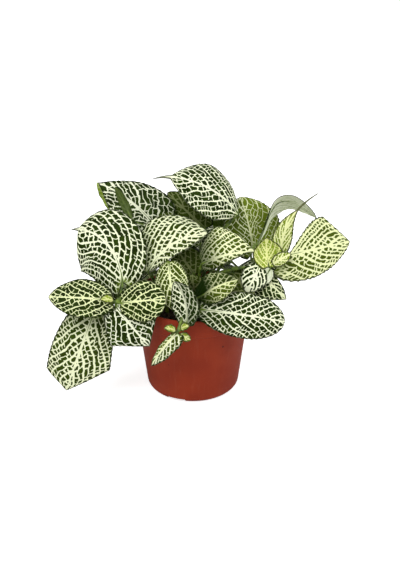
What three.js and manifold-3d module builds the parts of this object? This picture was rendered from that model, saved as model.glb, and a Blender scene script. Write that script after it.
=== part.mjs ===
import * as THREE from 'three';
import { mergeVertices } from 'three/addons/utils/BufferGeometryUtils.js';
import Module from 'manifold-3d';

// A nerve plant in a 9 cm nursery pot. Lengths are millimetres and angles are degrees.
// The pot stands on Z = 0 with its axis on Z, and the front of the plant faces -Y.
// An azimuth is 0 at the front, 90 at the right and 180 at the back.

const wasm = await Module();
wasm.setup();

// Driving dimensions
const pot = {
  height: 75,
  rimRadius: 45,
  footRadius: 35.75,
  cornerRadius: 4.4,
  wall: 1.3,
  floor: 3,
  bandHeight: 15,
  bandStep: 0.6,
  notches: 3,
  firstNotch: -22,
  notchWidth: 14,
  notchDepth: 1.8,
  notchInnerRadius: 19,
  holeRadius: 3.5,
  holeDistance: 26,
  sides: 40,
};
const soil = { level: 66, crown: 2, clearance: 0.3, holeGap: 0.6, holeDepth: 9, holeSides: 8, sides: 24 };
const stem = { radius: 1.5, sides: 6, steps: 8, rootDepth: 8 };
const petiole = { radius: 0.9, sides: 4, steps: 3 };
const bladeThickness = 0.7;
const bluntHalfWidth = 0.8;

// A stem is a smooth line through its points, from the soil to its last leaf.
const stems = {
  stem_left: [[-19, -12, 66], [-24, -16, 87], [-40, -28, 96], [-55, -37, 87]],
  stem_upper_left: [[-6, 3, 66], [-12, 2, 90], [-24, 4, 112], [-30, 12, 127]],
  stem_top: [[6, 6, 66], [10, 3, 98], [20, 6, 122], [32, 12, 134]],
  stem_centre_left: [[-18, -2, 66], [-27, -7, 86], [-31, -12, 98]],
  stem_centre: [[4, -6, 66], [4, -9, 86], [6, -15, 104]],
  stem_front: [[0, -20, 66], [-3, -34, 80], [-7, -46, 80], [-10, -53, 72]],
  stem_front_right: [[8, -18, 66], [8, -28, 77], [4, -39, 82]],
  stem_right: [[-9, -10, 66], [-6, -15, 87], [8, -19, 97], [30, -16, 104], [56, -12, 103]],
  stem_behind_right: [[10, -1, 66], [20, 14, 90], [30, 17, 97], [44, 16, 103]],
};

// A leaf runs from base to tip along a bowed midrib, and its upper side faces an azimuth and a
// height above the horizon. A pair of values is for the left and the right half of the blade,
// seen from above with the tip away. Its petiole starts at a fraction of the stem's length.
// An edge runs straight to the tip from its corner on. A drip is the share of the length that
// the narrow point beyond the blade takes, and the point curls down by the curl.
const leafDefaults = {
  arch: 3,
  lean: 1,
  sweep: 0,
  cup: 16,
  fold: 0,
  roll: 0,
  corner: 1,
  drip: 0,
  curl: 0,
  wave: 0.8,
  waves: 2.5,
  phase: 0,
  lobe: 5,
  round: 0.55,
  point: 0.7,
  from: 1,
  rows: 6,
  columns: 6,
};
const leaves = {
  left_big: { stem: 'stem_left', base: [-51, -24, 98], tip: [-91, 4, 127], width: [60, 52],
    faces: [-18, 30], arch: 8, sweep: -13, cup: 22, lean: 1.3, round: [0.62, 0.55],
    point: [0.42, 0.6], lobe: [17, 9], wave: 0.5, drip: 0.12, curl: 3 },
  left_front: { stem: 'stem_left', base: [-60, -37, 89], tip: [-104, -34, 90], width: 29,
    faces: [-8, 38], point: 0.75, lobe: [9, 5] },
  left_inner: { stem: 'stem_left', base: [-51, -38, 87], tip: [-19, -42, 92], width: 31,
    faces: [6, 34], cup: 20, point: 0.5 },
  left_hanging: { stem: 'stem_left', base: [-73, -32, 73], tip: [-94, -44, 17], width: [55, 43],
    faces: [-6, 8], arch: 5, cup: 12, round: [0.3, 0.2], point: [0.05, 0.2], corner: [0.52, 0.8],
    lobe: [10, 4] },
  left_under: { stem: 'stem_left', base: [-55, -38, 84], tip: [-31, -48, 57], width: [42, 49],
    faces: [8, 6], cup: 15, round: [0.4, 0.45], point: [0.15, 0.1], corner: [0.6, 0.47], lobe: 8 },
  left_young: { stem: 'stem_left', base: [-57, -38, 89], tip: [-66, -40, 91], width: 8,
    faces: [0, 60], arch: 1, cup: -40, lobe: 1, rows: 3, columns: 2 },
  upper_left: { stem: 'stem_upper_left', base: [-30, 12, 129], tip: [-72, 38, 151], width: [40, 44],
    faces: [-8, 34], cup: 10, sweep: -3, round: [0.5, 0.22], point: 1.1, lobe: [2, 8] },
  upper_left_fold: { stem: 'stem_upper_left', base: [-46, 14, 132], tip: [-58, 24, 153], width: 7,
    faces: [190, 10], arch: 2, cup: 20, rows: 4, columns: 2 },
  upper_left_back: { stem: 'stem_upper_left', base: [-58, 30, 129], tip: [-73, 38, 151],
    width: [17, 9], faces: [190, 10], arch: 2, cup: 20, from: 0.9, rows: 5, columns: 2 },
  top: { stem: 'stem_top', base: [34, 12, 136], tip: [-28, 10, 166], width: [44, 50],
    faces: [8, 58], arch: 9, sweep: -4, cup: [28, 22], round: [0.6, 0.85], point: [0.75, 1],
    lobe: 0, drip: 0.15, curl: 3 },
  behind_dark: { stem: 'stem_top', base: [9, 20, 121], tip: [-19, 28, 147], width: [20, 26],
    faces: [-20, 35], arch: 4, cup: 15, round: 0.4, from: 0.65, rows: 5, columns: 4 },
  centre_left: { stem: 'stem_centre_left', base: [-33, -12, 99], tip: [11, -4, 127], width: [57, 18],
    faces: [-14, 42], arch: 8, sweep: 5, cup: 22, round: [0.5, 0.8], lobe: [3, 5] },
  centre_small: { stem: 'stem_centre_left', base: [-17, -18, 110], tip: [-11, -38, 80], width: 27,
    faces: [-12, 30], arch: 7, cup: 35 },
  front_upright: { stem: 'stem_front', base: [-4, -50, 77], tip: [-13, -40, 105], width: [22, 22],
    faces: [-30, 22], arch: -2, sweep: -3, fold: 12, cup: 10, from: 0.8, columns: 4 },
  front_drooping: { stem: 'stem_front', base: [-11, -54, 71], tip: [-30, -50, 42], width: [16, 9],
    faces: [-30, 30], arch: 2, cup: 30, round: [0.3, 0.5], point: 0.75, columns: 4 },
  front_young_left: { stem: 'stem_front', base: [-12, -54, 73], tip: [-20, -55, 76], width: 7,
    faces: [-10, 60], arch: 1, cup: -25, lobe: 1, rows: 3, columns: 2 },
  front_young_right: { stem: 'stem_front', base: [-8, -53, 74], tip: [-2, -54, 77], width: 7,
    faces: [10, 60], arch: 1, cup: -25, lobe: 1, rows: 3, columns: 2 },
  front_young_low: { stem: 'stem_front', base: [-9, -54, 70], tip: [-1, -55, 66], width: 7,
    faces: [10, 40], arch: 1, cup: 20, lobe: 1, rows: 3, columns: 2 },
  right_front: { stem: 'stem_front_right', base: [6, -42, 84], tip: [67, -40, 73], width: 34,
    faces: [2, 34], arch: 4, cup: 18, point: 0.5 },
  right_upper: { stem: 'stem_front_right', base: [4, -36, 90], tip: [33, -30, 102], width: [26, 22],
    faces: [12, 40], arch: 11, cup: 38 },
  right_inner: { stem: 'stem_front_right', base: [16, -26, 87], tip: [42, -31, 86], width: 20,
    faces: [0, 36], arch: 2, from: 0.6, rows: 5, columns: 4 },
  centre: { stem: 'stem_centre', base: [7, -16, 108], tip: [45, -14, 117], width: [50, 15],
    faces: [10, 38], arch: 11, cup: 34, round: [0.45, 0.3], point: [0.7, 1.2] },
  centre_inner: { stem: 'stem_centre', base: [1, -6, 95], tip: [-12, 3, 112], width: 26,
    faces: [-10, 35], cup: 12, from: 0.6, rows: 4, columns: 4 },
  behind_right: { stem: 'stem_behind_right', base: [46, 16, 104], tip: [36, 34, 141], width: [40, 56],
    faces: [25, 16], cup: 14, lobe: 8 },
  behind_pale: { stem: 'stem_behind_right', base: [35, 27, 113], tip: [14, 29, 125], width: 20,
    faces: [180, 25], arch: 2, from: 0.8, rows: 4, columns: 4 },
  right_big: { stem: 'stem_right', base: [69, -8, 111], tip: [116, -2, 120], width: [45, 42],
    faces: [10, 26], cup: 10, round: [1.4, 0.3], point: [0.8, 0.75], corner: [0.68, 1],
    lobe: [0, 15], waves: 3.5 },
  right_young: { stem: 'stem_right', base: [56, -14, 105], tip: [54, -8, 125], width: 24,
    faces: [10, 20], arch: -3, cup: -35, rows: 5, columns: 4 },
  right_small: { stem: 'stem_right', base: [59, -14, 107], tip: [72, -11, 114], width: 10,
    faces: [15, 35], cup: 10, rows: 4, columns: 2 },
  right_arching: { stem: 'stem_right', base: [45, 2, 114], tip: [93, 16, 131], width: [24, 30],
    faces: [180, 40], arch: 25, lean: 1.6, cup: 20, round: 1.6, point: [0.9, 0.35], from: 0.9,
    rows: 8, columns: 4 },
  right_striped: { stem: 'stem_right', base: [65, -5, 110], tip: [92, 10, 153], width: 17,
    faces: [-40, 10], arch: 2, sweep: 7, cup: -20, point: 1.3, drip: 0.3, columns: 4 },
  right_hanging: { stem: 'stem_right', base: [49, -16, 106], tip: [39, -26, 90], width: 20,
    faces: [5, 20], cup: 25, rows: 4, columns: 4 },
  right_turned: { stem: 'stem_right', base: [57, -16, 104], tip: [50, -23, 94], width: 10,
    faces: [175, -10], arch: 2, cup: 20, lobe: 2, rows: 4, columns: 2 },
  right_inmost: { stem: 'stem_right', base: [2, -17, 83], tip: [0, -25, 104], width: 25,
    faces: [-5, 25], cup: 12, from: 0.3, rows: 4, columns: 4 },
  right_deep: { stem: 'stem_right', base: [30, -13, 98], tip: [45, -12, 79], width: 26,
    faces: [5, 20], cup: 12, from: 0.75, rows: 4, columns: 4 },
  right_low: { stem: 'stem_right', base: [52, -12, 95], tip: [69, -24, 83], width: [14, 26],
    faces: [8, 22], arch: 4, cup: 20, round: 0.4, point: 0.9 },
};

// The stems behind fan out round the back of the pot. Each holds a cover leaf that lies over the
// rim, skirt leaves that hang outside it and, where the front foliage hides it, a crown leaf.
// Measures are distances from the pot's axis and heights, and a pair of them is a range.
const fan = {
  azimuths: [106, 140, 167, 194, 222, 250],
  stagger: 5,
  root: [17, 66],
  bend: [24, 88],
  end: [47, 86],
  cover: { base: [38, 97], out: [76, 90], top: [78, 94], width: [36, 46], height: [50, 70], spread: 12 },
  skirt: { base: [52, 76], out: [66, 82], top: [34, 58], width: [22, 32], height: [8, 40], spread: 26 },
  crown: { base: [24, 111], out: [54, 68], top: [106, 122], width: [30, 40], height: [55, 80], spread: 16 },
  apart: 8,
  outer: 7,
  seeds: [431, 21, 27, 1, 5, 1],
  skirts: [[1], [-1, 1], [-1, 1], [-1, 1], [-1, 1], [-1, 1]],
  crowns: [2, 3, 4],
};

const seedSpread = 104729;

// The same draws come every time.
function makeDraw(seed) {
  let state = seed;
  return (low, high) => {
    state = (state * 16807) % 2147483647;
    return low + (high - low) * (state / 2147483647);
  };
}

function around(azimuth, [distance, height]) {
  const angle = THREE.MathUtils.degToRad(azimuth);
  return [distance * Math.sin(angle), -distance * Math.cos(angle), height];
}

function addFan() {
  fan.seeds.forEach((seed, k) => {
    const draw = makeDraw(seed * seedSpread);
    const pick = ([low, high]) => draw(low, high);
    const azimuth = fan.azimuths[k];
    const lift = k % 2 === 0 ? -fan.stagger : fan.stagger;
    const name = `stem_back_${k + 1}`;
    stems[name] = [around(azimuth, fan.root), around(azimuth, fan.bend), around(azimuth, fan.end)];
    const fanLeaf = (kind, shape, turn, outward, rise, extra) => {
      leaves[`back_${k + 1}_${kind}`] = {
        stem: name,
        base: around(azimuth + turn, [shape.base[0] + outward, shape.base[1] + rise]),
        tip: around(azimuth + turn * draw(1, 2), [pick(shape.out) + outward, pick(shape.top) + rise]),
        width: pick(shape.width),
        faces: [azimuth + turn + draw(-shape.spread, shape.spread), pick(shape.height)],
        arch: draw(3, 9),
        sweep: draw(-4, 4),
        cup: draw(10, 26),
        phase: draw(0, 360),
        columns: 4,
        ...extra,
      };
    };
    fanLeaf('cover', fan.cover, draw(-5, 5), 0, lift, { from: 0.8 });
    for (const side of fan.skirts[k]) {
      const outward = side < 0 ? fan.outer : 0;
      fanLeaf(side < 0 ? 'skirt_left' : 'skirt_right', fan.skirt, side * fan.apart, outward, 0, {});
    }
    if (fan.crowns.includes(k)) {
      fanLeaf('crown', fan.crown, draw(-9, 9), 0, lift, { from: 0.5 });
    }
  });
}

// Solids

function solidOf(geometry) {
  geometry.deleteAttribute('normal');
  geometry.deleteAttribute('uv');
  const merged = mergeVertices(geometry, 1e-4);
  const mesh = new wasm.Mesh({
    numProp: 3,
    vertProperties: new Float32Array(merged.attributes.position.array),
    triVerts: new Uint32Array(merged.index.array),
  });
  return new wasm.Manifold(mesh);
}

function geometryOf(solid) {
  const mesh = solid.simplify(0.06).getMesh();
  const geometry = new THREE.BufferGeometry();
  geometry.setAttribute('position', new THREE.BufferAttribute(mesh.vertProperties, 3));
  geometry.setIndex(new THREE.BufferAttribute(mesh.triVerts, 1));
  return geometry;
}

function namedMesh(name, geometry, material) {
  const mesh = new THREE.Mesh(geometry, material);
  mesh.name = name;
  return mesh;
}

// Pot

function innerRadius(height) {
  const taper = (pot.rimRadius - pot.bandStep - pot.footRadius) / pot.height;
  return pot.footRadius + taper * height - pot.wall;
}

function potGeometry() {
  const bandBottom = pot.height - pot.bandHeight;
  const taper = (pot.rimRadius - pot.footRadius) / pot.height;
  const outer = (height) => pot.footRadius + taper * height;
  const profile = [new THREE.Vector2(0, 0)];
  const cornerSteps = 4;
  for (let i = 0; i <= cornerSteps; i += 1) {
    const angle = (Math.PI / 2) * (i / cornerSteps);
    const inset = pot.cornerRadius * (1 - Math.sin(angle));
    const rise = pot.cornerRadius * (1 - Math.cos(angle));
    profile.push(new THREE.Vector2(outer(rise) - pot.bandStep - inset, rise));
  }
  profile.push(new THREE.Vector2(outer(bandBottom) - pot.bandStep, bandBottom));
  profile.push(new THREE.Vector2(outer(bandBottom), bandBottom + pot.bandStep));
  profile.push(new THREE.Vector2(pot.rimRadius, pot.height - 0.5));
  profile.push(new THREE.Vector2(pot.rimRadius - 0.5, pot.height));
  profile.push(new THREE.Vector2(innerRadius(pot.height) + 0.3, pot.height));
  profile.push(new THREE.Vector2(innerRadius(pot.height - 1), pot.height - 1));
  profile.push(new THREE.Vector2(innerRadius(pot.floor), pot.floor));
  profile.push(new THREE.Vector2(0, pot.floor));
  return new THREE.LatheGeometry(profile, pot.sides).rotateX(Math.PI / 2);
}

function drainageCutters() {
  const cutters = [];
  for (let k = 0; k < pot.notches; k += 1) {
    const turn = THREE.MathUtils.degToRad(pot.firstNotch + (360 / pot.notches) * k);
    const length = pot.footRadius + 5 - pot.notchInnerRadius;
    const notch = new THREE.BoxGeometry(pot.notchWidth, length, pot.notchDepth * 2);
    notch.translate(0, -(pot.notchInnerRadius + length / 2), 0);
    notch.rotateZ(turn);
    const hole = new THREE.CylinderGeometry(pot.holeRadius, pot.holeRadius, 4 * pot.floor, 16);
    hole.rotateX(Math.PI / 2);
    hole.translate(0, -pot.holeDistance, 0);
    hole.rotateZ(turn);
    cutters.push(solidOf(notch), solidOf(hole));
  }
  return cutters;
}

function buildPot() {
  let body = solidOf(potGeometry());
  for (const cutter of drainageCutters()) {
    body = body.subtract(cutter);
  }
  return geometryOf(body);
}

// Soil

function buildSoil() {
  const bottom = pot.floor + soil.clearance;
  const edge = innerRadius(soil.level - soil.crown) - soil.clearance;
  const profile = [
    new THREE.Vector2(0, bottom),
    new THREE.Vector2(innerRadius(bottom) - soil.clearance, bottom),
    new THREE.Vector2(edge, soil.level - soil.crown),
    new THREE.Vector2(edge * 0.9, soil.level - soil.crown * 0.3),
    new THREE.Vector2(edge * 0.6, soil.level),
    new THREE.Vector2(0, soil.level),
  ];
  let body = solidOf(new THREE.LatheGeometry(profile, soil.sides).rotateX(Math.PI / 2));
  for (const [root] of Object.values(stems)) {
    const hole = new THREE.CylinderGeometry(
      stem.radius + soil.holeGap,
      stem.radius + soil.holeGap,
      soil.holeDepth * 2,
      soil.holeSides,
    );
    hole.rotateX(Math.PI / 2);
    hole.translate(root[0], root[1], soil.level);
    body = body.subtract(solidOf(hole));
  }
  return geometryOf(body);
}

// Leaves

function sided(value, side) {
  return Array.isArray(value) ? value[side > 0 ? 0 : 1] : value;
}

function outlineAt(leaf, t, s) {
  const along = Math.min(t / (1 - leaf.drip), 1);
  const round = sided(leaf.round, s);
  const point = sided(leaf.point, s);
  const corner = sided(leaf.corner, s);
  const peak = round / (round + point);
  const curved = (along / peak) ** round * ((1 - along) / (1 - peak)) ** point;
  return corner < 1 ? Math.min(curved, (1 - along) / (1 - corner)) : curved;
}

function bladeAxes(leaf) {
  const base = new THREE.Vector3(...leaf.base);
  const along = new THREE.Vector3(...leaf.tip).sub(base);
  const length = along.length();
  along.normalize();
  const azimuth = THREE.MathUtils.degToRad(leaf.faces[0]);
  const height = THREE.MathUtils.degToRad(leaf.faces[1]);
  const up = new THREE.Vector3(
    Math.sin(azimuth) * Math.cos(height),
    -Math.cos(azimuth) * Math.cos(height),
    Math.sin(height),
  );
  up.addScaledVector(along, -up.dot(along)).normalize();
  const across = new THREE.Vector3().crossVectors(up, along);
  return { base, along, length, up, across };
}

function midribPoint(leaf, axes, t) {
  const bow = t ** leaf.lean;
  const beyond = Math.max(t + leaf.drip - 1, 0) / Math.max(leaf.drip, 0.01);
  return axes.base.clone()
    .addScaledVector(axes.along, axes.length * t)
    .addScaledVector(axes.up, leaf.arch * 4 * bow * (1 - bow) - leaf.curl * beyond ** 2)
    .addScaledVector(axes.across, leaf.sweep * 4 * t * (1 - t));
}

function bladePoint(leaf, axes, t, s) {
  const step = 0.004;
  const early = Math.max(t - step, step);
  const late = Math.min(Math.max(t, step) + step, 1);
  const tangent = midribPoint(leaf, axes, late).sub(midribPoint(leaf, axes, early)).normalize();
  const lifted = axes.up.clone().multiplyScalar(tangent.dot(axes.along))
    .addScaledVector(axes.along, -tangent.dot(axes.up));
  const side = lifted.cross(tangent).normalize();
  const normal = new THREE.Vector3().crossVectors(tangent, side);
  const turn = THREE.MathUtils.degToRad(leaf.roll);
  side.applyAxisAngle(tangent, turn);
  normal.applyAxisAngle(tangent, turn);
  const reach = Math.abs(s);
  const outline = outlineAt(leaf, t, s);
  const halfWidth = Math.max((sided(leaf.width, s) / 2) * outline, bluntHalfWidth);
  const cup = THREE.MathUtils.degToRad(sided(leaf.cup, s)) || 1e-4;
  const fold = THREE.MathUtils.degToRad(sided(leaf.fold, s));
  const out = (Math.sin(cup * reach - fold) + Math.sin(fold)) / cup;
  const rise = (Math.cos(cup * reach - fold) - Math.cos(fold)) / cup;
  const swing = 2 * Math.PI * leaf.waves * t + THREE.MathUtils.degToRad(leaf.phase) + (s > 0 ? 1.3 : 0);
  const wave = leaf.wave * Math.sin(swing) * reach ** 3 * outline;
  const lobe = sided(leaf.lobe, s) * reach ** 2 * (1 - t) ** 4 * Math.min(1, halfWidth / 6);
  return midribPoint(leaf, axes, t)
    .addScaledVector(side, Math.sign(s) * out * halfWidth)
    .addScaledVector(normal, rise * halfWidth + wave)
    .addScaledVector(tangent, -lobe);
}

function bladeNormal(leaf, axes, t, s) {
  const step = 0.01;
  const ahead = bladePoint(leaf, axes, Math.min(t + step, 1), s);
  const behind = bladePoint(leaf, axes, Math.max(t - step, 0), s);
  const left = bladePoint(leaf, axes, t, Math.min(s + step, 1));
  const right = bladePoint(leaf, axes, t, Math.max(s - step, -1));
  return new THREE.Vector3().crossVectors(ahead.sub(behind), left.sub(right)).normalize();
}

// Rows lie closer together towards both ends of the blade.
function bladeRows(leaf) {
  const rows = [];
  for (let i = 0; i <= leaf.rows; i += 1) {
    const even = i / leaf.rows;
    rows.push((1 - leaf.drip) * (0.5 * even + 0.25 * (1 - Math.cos(Math.PI * even))));
  }
  if (leaf.drip > 0) {
    rows.push(1);
  }
  return rows;
}

// Both faces of a blade are split along the same diagonals.
function bladeGeometry(leaf) {
  const axes = bladeAxes(leaf);
  const stations = bladeRows(leaf);
  const rows = stations.length - 1;
  const { columns } = leaf;
  const positions = [];
  for (const offset of [bladeThickness / 2, -bladeThickness / 2]) {
    for (const t of stations) {
      for (let j = 0; j <= columns; j += 1) {
        const s = (2 * j) / columns - 1;
        const point = bladePoint(leaf, axes, t, s);
        point.addScaledVector(bladeNormal(leaf, axes, t, s), offset);
        positions.push(point.x, point.y, point.z);
      }
    }
  }
  const layer = (rows + 1) * (columns + 1);
  const at = (i, j) => i * (columns + 1) + j;
  const index = [];
  for (let i = 0; i < rows; i += 1) {
    for (let j = 0; j < columns; j += 1) {
      const [a, b, c, d] = [at(i, j), at(i + 1, j), at(i + 1, j + 1), at(i, j + 1)];
      index.push(a, b, c, a, c, d);
      index.push(layer + a, layer + c, layer + b, layer + a, layer + d, layer + c);
    }
  }
  const border = [];
  for (let j = 0; j < columns; j += 1) border.push(at(0, j));
  for (let i = 0; i < rows; i += 1) border.push(at(i, columns));
  for (let j = columns; j > 0; j -= 1) border.push(at(rows, j));
  for (let i = rows; i > 0; i -= 1) border.push(at(i, 0));
  border.forEach((a, k) => {
    const b = border[(k + 1) % border.length];
    index.push(a, b, layer + b, a, layer + b, layer + a);
  });
  const geometry = new THREE.BufferGeometry();
  geometry.setAttribute('position', new THREE.BufferAttribute(new Float32Array(positions), 3));
  geometry.setIndex(index);
  return geometry;
}

function tubeGeometry(curve, radius, sides, steps) {
  const section = new THREE.Shape();
  section.setFromPoints(Array.from({ length: sides }, (_, k) => {
    const angle = (2 * Math.PI * k) / sides;
    return new THREE.Vector2(radius * Math.cos(angle), radius * Math.sin(angle));
  }));
  return new THREE.ExtrudeGeometry(section, { steps, bevelEnabled: false, extrudePath: curve });
}

function stemCurve(points) {
  const [root] = points;
  const sunk = new THREE.Vector3(root[0], root[1], root[2] - stem.rootDepth);
  return new THREE.CatmullRomCurve3([sunk, ...points.map((point) => new THREE.Vector3(...point))]);
}

function petioleCurve(leaf, curve) {
  const axes = bladeAxes(leaf);
  const foot = curve.getPointAt(leaf.from);
  const neck = midribPoint(leaf, axes, 0);
  const inside = midribPoint(leaf, axes, 0.08);
  const back = neck.clone().sub(inside).normalize();
  const bend = neck.clone().addScaledVector(back, foot.distanceTo(neck) * 0.5);
  return new THREE.CatmullRomCurve3([foot, foot.clone().lerp(bend, 0.5).lerp(neck, 0.3), neck, inside]);
}

function buildStem(name, points) {
  const curve = stemCurve(points);
  let body = solidOf(tubeGeometry(curve, stem.radius, stem.sides, stem.steps));
  for (const entry of Object.values(leaves)) {
    if (entry.stem === name) {
      const leaf = { ...leafDefaults, ...entry };
      const stalk = petioleCurve(leaf, curve);
      body = body.add(solidOf(tubeGeometry(stalk, petiole.radius, petiole.sides, petiole.steps)));
      body = body.add(solidOf(bladeGeometry(leaf)));
    }
  }
  return geometryOf(body);
}

// Assembly

addFan();

const potPlastic = new THREE.MeshStandardMaterial({ color: 0x8b3421, roughness: 0.55, metalness: 0 });
const earth = new THREE.MeshStandardMaterial({ color: 0x2b1d12, roughness: 1, metalness: 0 });

const plant = new THREE.Group();
plant.add(namedMesh('pot', buildPot(), potPlastic));
plant.add(namedMesh('soil', buildSoil(), earth));
for (const [name, points] of Object.entries(stems)) {
  const leafGreen = new THREE.MeshStandardMaterial({ color: 0x7f9440, roughness: 0.5, metalness: 0 });
  plant.add(namedMesh(name, buildStem(name, points), leafGreen));
}

export default plant;
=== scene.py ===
import math
import random
from functools import partial

import bpy
import numpy as np
from mathutils import Euler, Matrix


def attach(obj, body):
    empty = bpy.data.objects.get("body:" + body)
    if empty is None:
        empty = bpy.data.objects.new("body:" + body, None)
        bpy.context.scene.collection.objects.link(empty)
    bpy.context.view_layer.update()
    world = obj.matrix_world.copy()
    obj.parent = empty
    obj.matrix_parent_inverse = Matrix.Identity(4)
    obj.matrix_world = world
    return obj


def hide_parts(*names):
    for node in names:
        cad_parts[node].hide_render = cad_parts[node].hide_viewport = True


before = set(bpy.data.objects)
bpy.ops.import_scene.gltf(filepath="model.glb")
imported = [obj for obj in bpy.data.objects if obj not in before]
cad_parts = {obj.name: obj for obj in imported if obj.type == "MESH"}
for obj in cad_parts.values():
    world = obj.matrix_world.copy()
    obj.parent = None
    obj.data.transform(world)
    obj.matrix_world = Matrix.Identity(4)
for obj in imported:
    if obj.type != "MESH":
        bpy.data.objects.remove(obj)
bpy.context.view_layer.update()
bpy.ops.object.select_all(action="DESELECT")
print("frame loaded:", len(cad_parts), "nodes")

# Tables are in millimetres and degrees, meshes are in metres.
# An azimuth is 0 at the front of the plant, 90 at its right and 180 at its back.
mm = 0.001


# Node helpers

def addNode(tree, kind, sockets=None, **settings):
    node = tree.nodes.new(kind)
    for name, value in settings.items():
        setattr(node, name, value)
    for name, value in (sockets or {}).items():
        if isinstance(value, bpy.types.NodeSocket):
            tree.links.new(value, node.inputs[name])
        else:
            node.inputs[name].default_value = value
    return node


def mathNode(tree, operation, *values):
    sockets = dict(enumerate(values))
    return addNode(tree, "ShaderNodeMath", sockets, operation=operation).outputs[0]


def fade(tree, value, low, high, atLow=0.0, atHigh=1.0):
    sockets = {"Value": value, "From Min": low, "From Max": high, "To Min": atLow, "To Max": atHigh}
    node = addNode(tree, "ShaderNodeMapRange", sockets, interpolation_type="SMOOTHSTEP")
    return node.outputs["Result"]


def mixColour(tree, share, first, second):
    node = addNode(tree, "ShaderNodeMix", {"Factor": share}, data_type="RGBA")
    for socket, value in zip((node.inputs[6], node.inputs[7]), (first, second)):
        if isinstance(value, bpy.types.NodeSocket):
            tree.links.new(value, socket)
        else:
            socket.default_value = value
    return node.outputs[2]


def newGroup(name, inputs, outputs):
    group = bpy.data.node_groups.new(name, "ShaderNodeTree")
    for label, kind in inputs:
        group.interface.new_socket(label, in_out="INPUT", socket_type=kind)
    for label in outputs:
        group.interface.new_socket(label, in_out="OUTPUT", socket_type="NodeSocketFloat")
    return group, group.nodes.new("NodeGroupInput").outputs, group.nodes.new("NodeGroupOutput").inputs


def newMaterial(name):
    material = bpy.data.materials.new(name)
    material.use_nodes = True
    tree = material.node_tree
    return material, tree, tree.nodes["Principled BSDF"]


def noiseAt(tree, coordinates, scale, detail=3.0, roughness=0.5):
    sockets = {"Vector": coordinates, "Scale": scale, "Detail": detail, "Roughness": roughness}
    return addNode(tree, "ShaderNodeTexNoise", sockets).outputs["Fac"]


def scaled(tree, value, factor):
    return mathNode(tree, "MULTIPLY", value, factor)


def partsOf(tree, vector):
    return addNode(tree, "ShaderNodeSeparateXYZ", {"Vector": vector}).outputs


def objectPlace(tree):
    return addNode(tree, "ShaderNodeTexCoord").outputs["Object"]


# Soft patches of noise, from nothing below the low value to all above the high one
def patches(tree, place, scale, detail=3.0, low=0.35, high=0.7, most=1.0):
    return fade(tree, noiseAt(tree, place, scale, detail), low, high, 0.0, most)


def linearColour(red, green, blue):
    shares = [value / 255 for value in (red, green, blue)]
    return [x / 12.92 if x <= 0.04045 else ((x + 0.055) / 1.055) ** 2.4 for x in shares] + [1]


def paintSet(**paints):
    return {name: linearColour(*paint) for name, paint in paints.items()}


# Each paint lies over the colour before it, by its share.
def layered(tree, colour, *layers):
    for share, paint in layers:
        colour = mixColour(tree, share, colour, paint)
    return colour


def finishSkin(skin, finish, colour, roughness, height):
    material, tree, shader = skin
    tree.links.new(colour, shader.inputs["Base Color"])
    tree.links.new(roughness, shader.inputs["Roughness"])
    shader.inputs["Specular IOR Level"].default_value = finish["specular"]
    sockets = {"Strength": finish["bump"], "Distance": finish["bumpDepth"] * mm, "Height": height}
    tree.links.new(addNode(tree, "ShaderNodeBump", sockets).outputs["Normal"], shader.inputs["Normal"])
    return material


# Camera, floor and light

view = dict(lookAt=(5.5, 0, 83), distance=750, elevation=26, lens=62.65)
studio = dict(
    floorSize=6000,
    floorColour=(0.8, 0.79, 0.82, 1),
    floorRoughness=0.9,
    floorGlow=0.72,
    worldStrength=0.5,
    lights=[
        dict(place=(-450, -700, 1100), size=700, power=9),
        dict(place=(800, -400, 900), size=600, power=4.5),
        dict(place=(200, 700, 900), size=700, power=3),
    ],
    aimHeight=80,
)
white = (1, 1, 1, 1)


def addCamera():
    tilt = math.radians(view["elevation"])
    x, y, z = view["lookAt"]
    place = (x, y - view["distance"] * math.cos(tilt), z + view["distance"] * math.sin(tilt))
    bpy.ops.object.camera_add(location=[v * mm for v in place], rotation=(math.pi / 2 - tilt, 0, 0))
    camera = bpy.context.object
    camera.data.lens = view["lens"]
    bpy.context.scene.camera = camera


# A value that differs between what the camera sees and what lights the plant
def towardsCamera(tree, operation, value):
    toCamera = addNode(tree, "ShaderNodeLightPath").outputs["Is Camera Ray"]
    return mathNode(tree, operation, toCamera, value)


def addStudio():
    world = bpy.data.worlds.new("studioWorld")
    bpy.context.scene.world = world
    world.use_nodes = True
    tree = world.node_tree
    background = tree.nodes["Background"]
    background.inputs["Color"].default_value = white
    # The world looks white to the camera and lights the plant more softly.
    soft = towardsCamera(tree, "MAXIMUM", studio["worldStrength"])
    tree.links.new(soft, background.inputs["Strength"])
    for light in studio["lights"]:
        x, y, z = [v * mm for v in light["place"]]
        bpy.ops.object.light_add(type="AREA", location=(x, y, z))
        lamp = bpy.context.object
        lamp.data.size = light["size"] * mm
        lamp.data.energy = light["power"]
        aim = math.atan2(math.hypot(x, y), z - studio["aimHeight"] * mm)
        lamp.rotation_euler = (aim, 0, math.atan2(x, -y))
    bpy.ops.mesh.primitive_plane_add(size=studio["floorSize"] * mm)
    floor = bpy.context.object
    floor.name = "studioFloor"
    paint, tree, shader = newMaterial("floorPaint")
    shader.inputs["Base Color"].default_value = studio["floorColour"]
    shader.inputs["Roughness"].default_value = studio["floorRoughness"]
    shader.inputs["Emission Color"].default_value = white
    # The floor looks white to the camera without lighting the plant from below.
    glow = towardsCamera(tree, "MULTIPLY", studio["floorGlow"])
    tree.links.new(glow, shader.inputs["Emission Strength"])
    floor.data.materials.append(paint)
    bpy.context.scene.view_settings.view_transform = "Standard"


addCamera()
addStudio()
print("camera and studio ready")


# Vein net

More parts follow.
